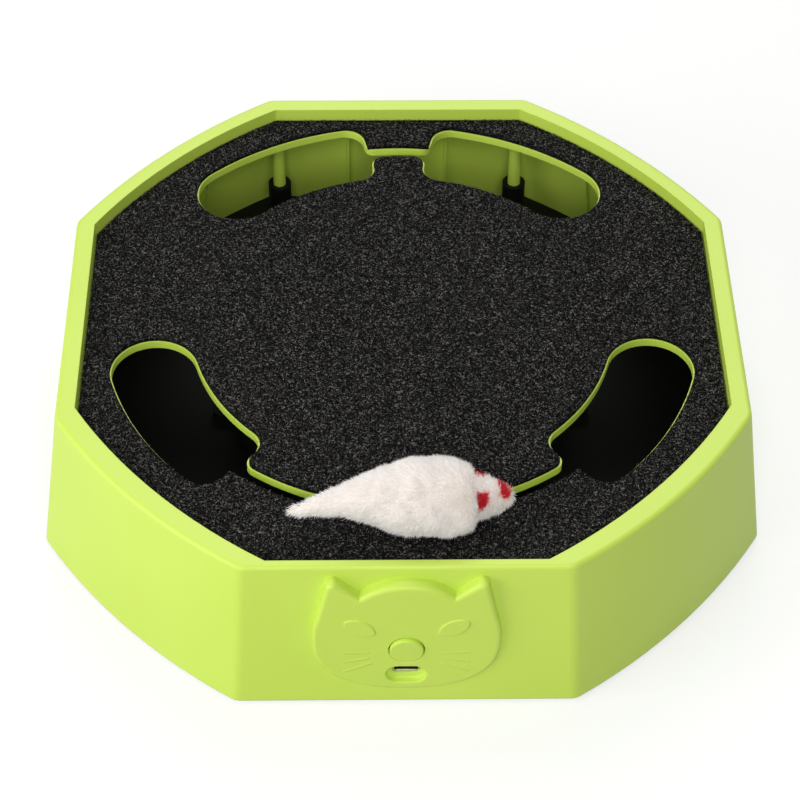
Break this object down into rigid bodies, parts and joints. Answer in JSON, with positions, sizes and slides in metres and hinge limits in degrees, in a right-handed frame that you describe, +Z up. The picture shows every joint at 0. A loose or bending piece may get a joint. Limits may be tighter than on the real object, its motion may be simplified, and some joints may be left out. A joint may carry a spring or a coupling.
{
  "type": "automatic cat mouse toy",
  "caption": "Lime green eight-sided cat toy with a felt deck, holes along a slot, a cat-face front and a white plush mouse.",
  "frame": {"origin": "on the floor under the middle of the case", "axes": "+X to the right, +Y to the back, +Z up; the cat face on the front wall looks towards -Y"},
  "size_m": [0.25, 0.2472, 0.0801],
  "materials": {
    "green_plastic": "satin",
    "black_plastic": "satin",
    "charcoal_felt": "matte",
    "white_plush": "matte",
    "red_plush": "matte",
    "white_acetal": "satin",
    "steel": "satin",
    "bronze": "satin",
    "rubber": "matte",
    "board_green": "gloss",
    "cell_wrap": "gloss"
  },
  "bodies": {
    "case": {"case_wall": "green_plastic", "deck": "green_plastic", "felt_pad": "charcoal_felt", "cat_face_panel": "green_plastic", "base_plate": "black_plastic", "rubber_feet": "rubber", "case_screws": "steel", "column_screw": "steel", "thrust_washer": "steel", "gear_motor": "steel", "motor_bracket": "black_plastic", "bracket_screws": "steel", "track_ring": "black_plastic", "track_screws": "steel", "circuit_board": "board_green", "board_screws": "steel", "charging_socket": "steel", "button_switch": "black_plastic", "battery_cell": "cell_wrap", "battery_holder": "black_plastic", "battery_contacts": "steel", "holder_screws": "steel"},
    "turntable": {"turntable": "white_acetal", "turntable_bush": "bronze", "hinge_pin": "steel"},
    "arm": {"lift_arm": "black_plastic", "roller_axle": "steel", "mouse_stem": "steel", "stem_plug": "white_acetal", "mouse_body": "white_plush", "mouse_head": "white_plush", "mouse_tail": "white_plush", "mouse_nose": "red_plush", "mouse_eyes": "red_plush"},
    "roller": {"track_roller": "white_acetal"},
    "pinion": {"drive_pinion": "white_acetal", "motor_shaft": "steel"},
    "button": {"nose_button": "green_plastic", "switch_plunger": "black_plastic"}
  },
  "joints": [
    {"name": "turntable_spin", "type": "hinge", "parent": "case", "child": "turntable", "pos_m": [0, 0.0016, 0.034], "axis": [0, 0, 1], "range_deg": [-40, 40]},
    {"name": "arm_lift", "type": "hinge", "parent": "turntable", "child": "arm", "pos_m": [0, -0.0224, 0.043], "axis": [-1, 0, 0], "range_deg": [0, 3.5]},
    {"name": "roller_spin", "type": "hinge", "parent": "arm", "child": "roller", "pos_m": [0, -0.0554, 0.035], "axis": [0, 1, 0], "continuous": true},
    {"name": "pinion_spin", "type": "hinge", "parent": "case", "child": "pinion", "pos_m": [0, -0.0344, 0.034], "axis": [0, 0, 1], "continuous": true},
    {"name": "nose_press", "type": "slide", "parent": "case", "child": "button", "axis": [0, 1, 0], "range_m": [0, 0.0006], "stiffness_N_per_m": 800}
  ],
  "couplings": [
    {"joint": "pinion_spin", "follows": "turntable_spin", "ratio": -5},
    {"joint": "roller_spin", "follows": "turntable_spin", "ratio": 12.667}
  ]
}
